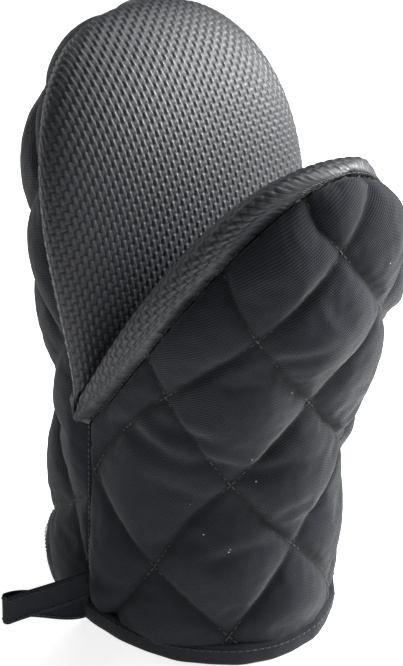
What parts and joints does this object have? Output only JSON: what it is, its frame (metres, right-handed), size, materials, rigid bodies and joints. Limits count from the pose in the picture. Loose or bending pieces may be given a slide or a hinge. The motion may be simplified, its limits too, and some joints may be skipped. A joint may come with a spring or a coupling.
{
  "type": "oven mitt",
  "caption": "Puppet-style padded oven mitt: quilted twill cuff and back, ribbed neoprene grip pads on a finger jaw and a thumb jaw, bound hem and hanging loop.",
  "frame": {"origin": "centre of the hand opening, on the plane the cuff stands on", "axes": "+Z from the hem towards the finger tips, +Y from the thumb side to the back of the hand, -X to the hanging loop"},
  "size_m": [0.1745, 0.1672, 0.2575],
  "materials": {
    "twill": "charcoal cotton twill",
    "wadding": "off-white polyester wadding",
    "lining": "plain dark cotton lining",
    "neoprene": "embossed neoprene, satin",
    "binding": "cotton twill binding tape",
    "tape": "cotton twill tape",
    "thread": "polyester sewing thread"
  },
  "bodies": {
    "cuff": {"front_shell_cuff": "twill", "front_wadding_cuff": "wadding", "front_lining_cuff": "lining", "back_shell_cuff": "twill", "back_wadding_cuff": "wadding", "back_lining_cuff": "lining", "hem_binding": "binding", "side_seam_left": "thread", "side_seam_right": "thread", "thumb_fold": "twill", "knuckle_fold": "twill", "crotch_fold": "neoprene", "loop_bar_tack": "thread"},
    "fingers": {"back_shell_fingers": "twill", "back_wadding_fingers": "wadding", "back_lining_fingers": "lining", "grip_pad_fingers": "neoprene", "grip_lining_fingers": "lining", "finger_seam": "thread"},
    "thumb": {"front_shell_thumb": "twill", "front_wadding_thumb": "wadding", "front_lining_thumb": "lining", "grip_pad_thumb": "neoprene", "grip_lining_thumb": "lining", "thumb_seam": "thread"},
    "loop": {"hanging_loop": "tape"}
  },
  "joints": [
    {"name": "finger_flex", "type": "hinge", "parent": "cuff", "child": "fingers", "pos_m": [0, 0, 0.098], "axis": [1, 0, 0], "range_deg": [-12, 6], "stiffness_Nm_per_rad": 0.6, "deforming": ["knuckle_fold", "crotch_fold"]},
    {"name": "thumb_flex", "type": "hinge", "parent": "cuff", "child": "thumb", "pos_m": [0, 0, 0.098], "axis": [-1, 0, 0], "range_deg": [-14, 8], "stiffness_Nm_per_rad": 0.6, "deforming": ["thumb_fold", "crotch_fold"]},
    {"name": "loop_swing", "type": "hinge", "parent": "cuff", "child": "loop", "pos_m": [-0.0592, 0, 0.01375], "axis": [0, 0, 1], "range_deg": [-55, 55], "stiffness_Nm_per_rad": 0.005}
  ]
}
